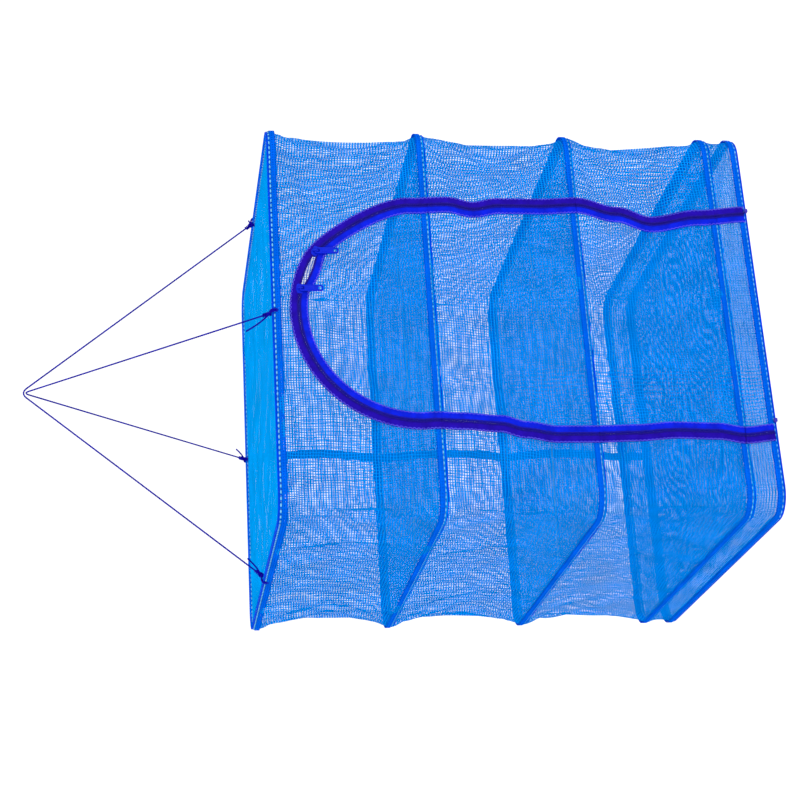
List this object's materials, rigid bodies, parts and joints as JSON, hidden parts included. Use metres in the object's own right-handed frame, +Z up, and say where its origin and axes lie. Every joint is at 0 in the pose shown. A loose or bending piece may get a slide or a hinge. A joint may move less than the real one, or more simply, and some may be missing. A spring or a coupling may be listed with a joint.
{
  "type": "hanging folding net cage",
  "caption": "Square hanging net cage with sprung wire frames, net shelves, a zipped arched door and a cord bridle.",
  "frame": {"origin": "the hanging point: centre of the hook that the two bridle cords bend over", "axes": "+Z up along the hanging line, -Y towards the zipped door, +X to the right of someone facing the door"},
  "size_m": [0.513, 0.518, 0.8967],
  "materials": {
    "net": "fine knitted plastic net, bright blue",
    "hem": "folded net strip with a pale dashed stitch line",
    "wire": "bright drawn spring wire",
    "ferrule": "crimped tin-plated steel sleeve",
    "zip_tape": "woven zip tape, violet blue",
    "zip_coil": "moulded coil, dark violet",
    "slider": "enamelled slider, bright blue",
    "cord": "twisted indigo cord"
  },
  "bodies": {
    "top_frame": {"frame_wire_1": "wire", "wire_ferrule_1": "ferrule", "frame_hem_1": "hem", "top_net": "net", "wall_net_1": "net", "back_seam_tape": "hem", "zip_tape_wall": "zip_tape", "zip_coil_wall": "zip_coil", "bridle_cord_front_back": "cord", "bridle_cord_left_right": "cord", "bridle_knot_front": "cord", "bridle_knot_back": "cord", "bridle_knot_left": "cord", "bridle_knot_right": "cord"},
    "second_frame": {"frame_wire_2": "wire", "wire_ferrule_2": "ferrule", "frame_hem_2": "hem", "shelf_net_2": "net", "wall_net_2": "net"},
    "third_frame": {"frame_wire_3": "wire", "wire_ferrule_3": "ferrule", "frame_hem_3": "hem", "shelf_net_3": "net", "wall_net_3": "net"},
    "fourth_frame": {"frame_wire_4": "wire", "wire_ferrule_4": "ferrule", "frame_hem_4": "hem", "shelf_net_4": "net", "wall_net_4": "net"},
    "bottom_frame": {"frame_wire_5": "wire", "wire_ferrule_5": "ferrule", "frame_hem_5": "hem", "bottom_net": "net", "zip_stop_right": "zip_coil", "zip_stop_left": "zip_coil"},
    "door": {"door_net": "net", "zip_tape_door": "zip_tape", "zip_coil_door": "zip_coil"},
    "right_slider": {"zip_slider_right": "slider"},
    "middle_slider": {"zip_slider_middle": "slider"},
    "right_tab": {"pull_tab_right": "slider"},
    "middle_tab": {"pull_tab_middle": "slider"}
  },
  "joints": [
    {"name": "fold", "type": "slide", "parent": "top_frame", "child": "bottom_frame", "axis": [0, 0, 1], "range_m": [0, 0.5525], "deforming": ["wall_net_1", "wall_net_2", "wall_net_3", "wall_net_4", "back_seam_tape", "zip_tape_wall", "zip_coil_wall", "door_net", "zip_tape_door", "zip_coil_door"]},
    {"name": "fold_second_frame", "type": "slide", "parent": "top_frame", "child": "second_frame", "axis": [0, 0, 1], "range_m": [0, 0.1772]},
    {"name": "fold_third_frame", "type": "slide", "parent": "top_frame", "child": "third_frame", "axis": [0, 0, 1], "range_m": [0, 0.3547]},
    {"name": "fold_fourth_frame", "type": "slide", "parent": "top_frame", "child": "fourth_frame", "axis": [0, 0, 1], "range_m": [0, 0.5242]},
    {"name": "door_open", "type": "hinge", "parent": "bottom_frame", "child": "door", "pos_m": [0, -0.2543, -0.881], "axis": [1, 0, 0], "range_deg": [0, 170]},
    {"name": "slide_right_slider", "type": "hinge", "parent": "top_frame", "child": "right_slider", "pos_m": [0, -0.2561, -0.46], "axis": [0, 1, 0], "range_deg": [-16, 57]},
    {"name": "slide_middle_slider", "type": "hinge", "parent": "top_frame", "child": "middle_slider", "pos_m": [0, -0.2561, -0.46], "axis": [0, 1, 0], "range_deg": [-101, 0]},
    {"name": "lift_right_tab", "type": "hinge", "parent": "right_slider", "child": "right_tab", "pos_m": [0.07625, -0.2599, -0.34259], "axis": [-1, 0, 0], "range_deg": [0, 165]},
    {"name": "lift_middle_tab", "type": "hinge", "parent": "middle_slider", "child": "middle_tab", "pos_m": [0.02671, -0.2599, -0.32257], "axis": [-1, 0, 0], "range_deg": [0, 165]}
  ],
  "couplings": [
    {"joint": "fold_second_frame", "follows": "fold", "ratio": 0.32036},
    {"joint": "fold_third_frame", "follows": "fold", "ratio": 0.64163},
    {"joint": "fold_fourth_frame", "follows": "fold", "ratio": 0.94842}
  ]
}
